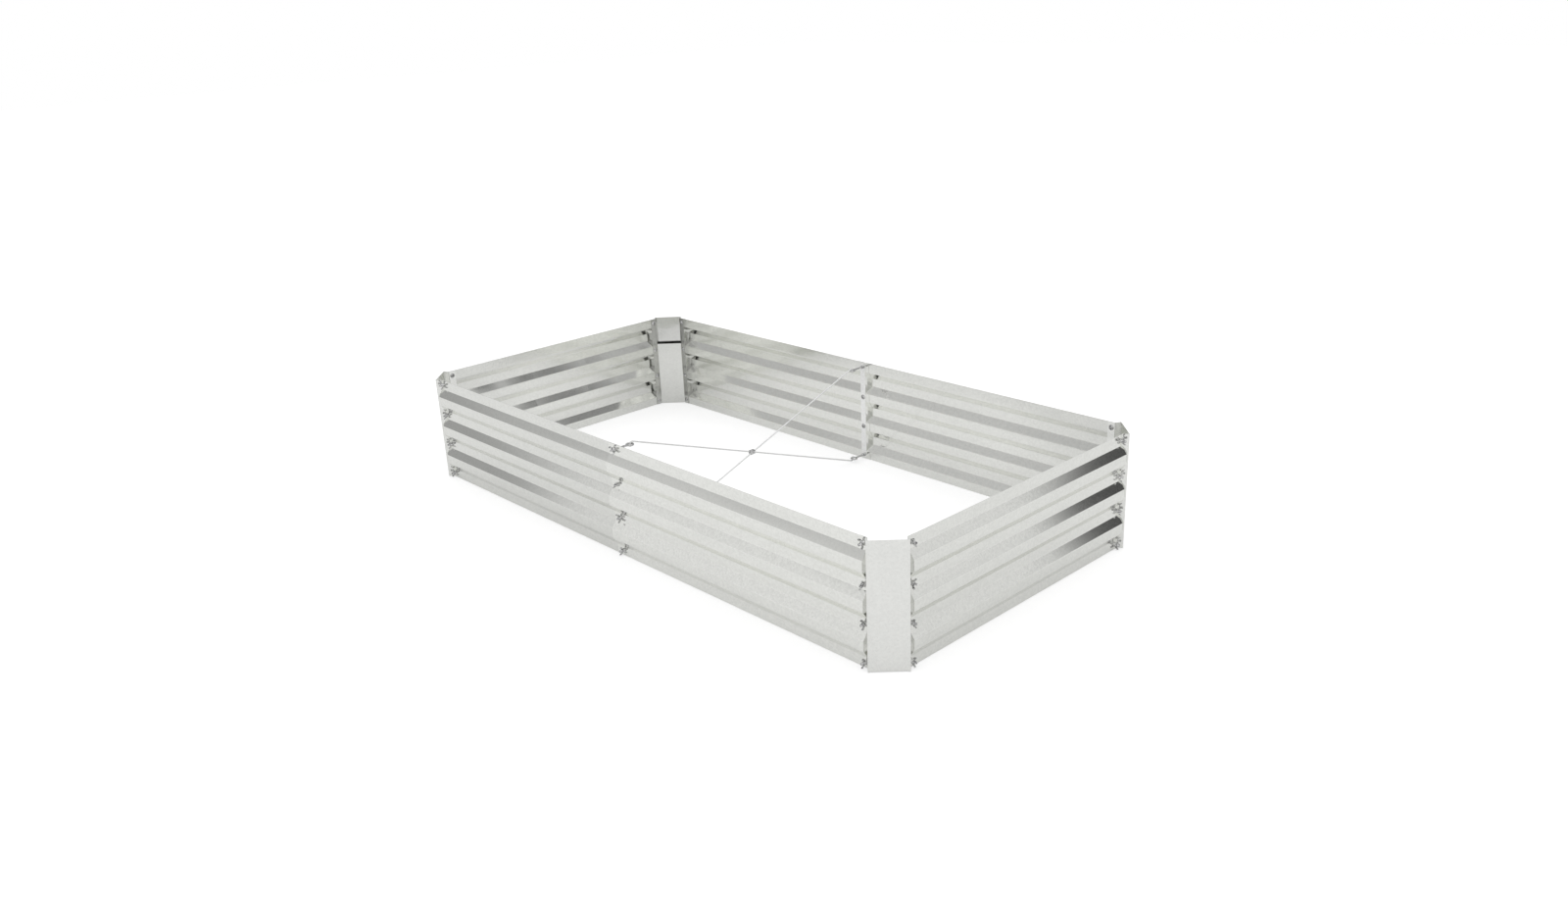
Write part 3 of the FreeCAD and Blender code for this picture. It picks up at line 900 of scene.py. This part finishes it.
# %% A soft patch: 1 outside its four edges, its own level inside them, and a slow change between
def make_soft_patch():
    group, start, end = new_group(
        "soft patch",
        [("Across", 0.0), ("Height", 0.0), ("Left", -1.0), ("Right", 1.0), ("Bottom", 0.0),
         ("Top", 1.0), ("Side softness", 0.3), ("Height softness", 0.3), ("Lean", 0.0),
         ("Level", 0.5)],
        ["Glow"])
    lean = math_node(group, "MULTIPLY", start["Across"], start["Lean"])
    leaned = math_node(group, "ADD", start["Height"], lean)

    def edge_mask(value, low, high, softness):
        rise = math_node(group, "SUBTRACT", value, start[low])
        fall = math_node(group, "SUBTRACT", start[high], value)
        nearest = math_node(group, "MINIMUM", rise, fall)
        steps = math_node(group, "DIVIDE", nearest, start[softness])
        return math_node(group, "ADD", steps, 0.5, clamp=True)

    sides = edge_mask(start["Across"], "Left", "Right", "Side softness")
    ends = edge_mask(leaned, "Bottom", "Top", "Height softness")
    mask = math_node(group, "MULTIPLY", sides, ends)
    darker = math_node(group, "SUBTRACT", 1.0, start["Level"])
    glow = math_node(group, "SUBTRACT", 1.0, math_node(group, "MULTIPLY", mask, darker))
    group.links.new(glow, end["Glow"])
    return group


soft_patch = make_soft_patch()

# %% What a white card gives off, darker in each soft patch
room_level = 0.76


def patch(left, right, bottom, top, side_softness, height_softness, level, lean=0.0):
    return {"Left": left, "Right": right, "Bottom": bottom, "Top": top,
            "Side softness": side_softness, "Height softness": height_softness,
            "Level": level, "Lean": lean}


def card_glow(name, across_axis, patches):
    material = bpy.data.materials.new(name)
    material.use_nodes = True
    tree = material.node_tree
    tree.nodes.remove(tree.nodes["Principled BSDF"])
    place = parts_of(tree, add_node(tree, "ShaderNodeTexCoord").outputs["Object"])
    glow = 1.0
    for settings in patches:
        grey = add_node(tree, "ShaderNodeGroup", node_tree=soft_patch)
        tree.links.new(place[across_axis], grey.inputs["Across"])
        tree.links.new(place["Z"], grey.inputs["Height"])
        for label, value in settings.items():
            grey.inputs[label].default_value = value
        glow = math_node(tree, "MINIMUM", glow, grey.outputs["Glow"])
    light = add_node(tree, "ShaderNodeEmission")
    feed(tree, light.inputs["Strength"], math_node(tree, "MULTIPLY", glow, room_level))
    tree.links.new(light.outputs["Emission"], tree.nodes["Material Output"].inputs["Surface"])
    print(name, "has", len(patches), "grey patches")
    return material


back_glow = card_glow("back card", "X", [
    patch(1.0, 3.76, -0.3, 1.95, 0.32, 0.3, 0.09),
    patch(1.0, 3.58, 1.6, 3.0, 0.50, 0.3, 0.24),
    patch(3.15, 4.0, 3.3, 7.5, 0.4, 0.4, 0.20),
    patch(-1.0, 3.3, 3.3, 7.5, 0.4, 0.4, 0.62),
])
left_glow = card_glow("left card", "Y", [
    patch(-2.95, 3.5, -0.3, 1.75, 0.45, 0.6, 0.50),
    patch(-3.1, 3.5, -0.07, 12.0, 0.4, 0.12, 0.63, lean=0.67),
    patch(-9.0, 3.5, -0.07, 12.0, 0.4, 0.12, 0.71, lean=0.67),
])
plain_glow = card_glow("plain card", "X", [])


# %% The floor's paint, which the camera and mirrors see whiter than the lamps make it
def backdrop_ray(tree):
    """1 for the rays that should see a white room: the camera's, and those of gloss and glass."""
    rays = add_node(tree, "ShaderNodeLightPath").outputs
    mirrored = math_node(tree, "MAXIMUM", rays["Is Glossy Ray"], rays["Is Transmission Ray"])
    seen = math_node(tree, "MAXIMUM", rays["Is Camera Ray"], mirrored)
    straight = math_node(tree, "LESS_THAN", rays["Diffuse Depth"], 0.5)
    return math_node(tree, "MULTIPLY", seen, straight)


floor_colour = 0.6
glow_in_mirrors = 0.30
more_for_camera = 0.30

floor_paint = bpy.data.materials.new("white floor")
floor_paint.use_nodes = True
floor_tree = floor_paint.node_tree
paint = floor_tree.nodes["Principled BSDF"]
paint.inputs["Base Color"].default_value = (floor_colour, floor_colour, floor_colour, 1.0)
paint.inputs["Roughness"].default_value = 1.0
paint.inputs["Specular IOR Level"].default_value = 0.0
paint.inputs["Emission Color"].default_value = (1, 1, 1, 1)
to_camera = add_node(floor_tree, "ShaderNodeLightPath").outputs["Is Camera Ray"]
mirror_glow = math_node(floor_tree, "MULTIPLY", backdrop_ray(floor_tree), glow_in_mirrors)
camera_glow = math_node(floor_tree, "MULTIPLY", to_camera, more_for_camera)
floor_glow = math_node(floor_tree, "ADD", mirror_glow, camera_glow)
floor_tree.links.new(floor_glow, paint.inputs["Emission Strength"])
print("floor colour", floor_colour, "and glow", glow_in_mirrors, "to", glow_in_mirrors + more_for_camera)


# %% Floor and cards in their places
def flat_card(name, size_x, size_y, place, material, seen=False):
    bm = bmesh.new()
    bmesh.ops.create_grid(bm, x_segments=1, y_segments=1, size=0.5)
    bmesh.ops.scale(bm, verts=bm.verts, vec=(size_x, size_y, 1.0))
    bm.transform(place)
    mesh = bpy.data.meshes.new(name)
    bm.to_mesh(mesh)
    bm.free()
    mesh.materials.append(material)
    card = bpy.data.objects.new(name, mesh)
    bpy.context.scene.collection.objects.link(card)
    card.visible_camera = seen
    if not seen:
        card.visible_shadow = False
        card.visible_diffuse = False
    print(name, size_x, "by", size_y, "m")


room_length = 10.5
room_width = 12.0
card_height = 8.0
card_middle = 4.1
floor_size = 40.0
floor_drop = 0.0005

flat_card("floor", floor_size, floor_size, shift(z=-floor_drop), floor_paint, seen=True)
for name, y, material in (("back card", 4.0, back_glow), ("front card", -8.0, plain_glow)):
    flat_card(name, room_length, card_height, shift(1.25, y, card_middle) @ about("X", 90), material)
for name, x, material in (("left card", -4.0, left_glow), ("right card", 6.5, plain_glow)):
    flat_card(name, card_height, room_width, shift(x, -2.0, card_middle) @ about("Y", 90), material)

# %% [markdown]
# ## Light and camera
# The world lights the bed evenly from all sides at the level of the cards, and only the camera and
# straight reflections see it as pure white. A hard lamp would throw a shadow that such a room
# doesn't, so the one lamp is a sun 90 degrees wide, straight above. Each wall hides part of it from
# the floor at its foot, which darkens there a little.

# %% World and lamp
world = bpy.data.worlds.new("studio")
bpy.context.scene.world = world
world.use_nodes = True
sky = world.node_tree
background = sky.nodes["Background"]
background.inputs["Color"].default_value = (1, 1, 1, 1)
sky_level = remap(sky, backdrop_ray(sky), 0.0, 1.0, room_level, 1.0)
sky.links.new(sky_level, background.inputs["Strength"])

soft_sun = bpy.data.lights.new("wide soft lamp", "SUN")
soft_sun.energy = math.pi * 0.14
soft_sun.angle = math.radians(90)
lamp = bpy.data.objects.new("wide soft lamp", soft_sun)
lamp.visible_glossy = False
bpy.context.scene.collection.objects.link(lamp)
lamp.location = (0, 0, 4)
print("lamp strength", round(soft_sun.energy, 3))

# %% The camera stands where the photographer's did, as fitted to the edges in the photograph
lens_pixels = 1279.87
image_width = 1600
azimuth, elevation, roll = (math.radians(value) for value in (46.898, 20.326, -2.402))
distance = 3.4365
target = Vector((0.05243, 0.07107, 0.150))
backward = Vector((math.cos(elevation) * math.sin(azimuth),
                   -math.cos(elevation) * math.cos(azimuth),
                   math.sin(elevation)))
level_right = (-backward).cross(Vector((0, 0, 1))).normalized()
level_up = level_right.cross(-backward)
right = math.cos(roll) * level_right + math.sin(roll) * level_up
upward = -math.sin(roll) * level_right + math.cos(roll) * level_up

lens = bpy.data.cameras.new("camera")
lens.sensor_width = 36.0
lens.lens = lens_pixels * lens.sensor_width / image_width
camera = bpy.data.objects.new("camera", lens)
bpy.context.scene.collection.objects.link(camera)
stand = Matrix((right, upward, backward)).transposed().to_4x4()
stand.translation = target + backward * distance
camera.matrix_world = stand
bpy.context.scene.camera = camera
bpy.context.scene.view_settings.view_transform = "Standard"
print("camera at", [round(value, 3) for value in stand.translation], "lens", round(lens.lens, 2), "mm")
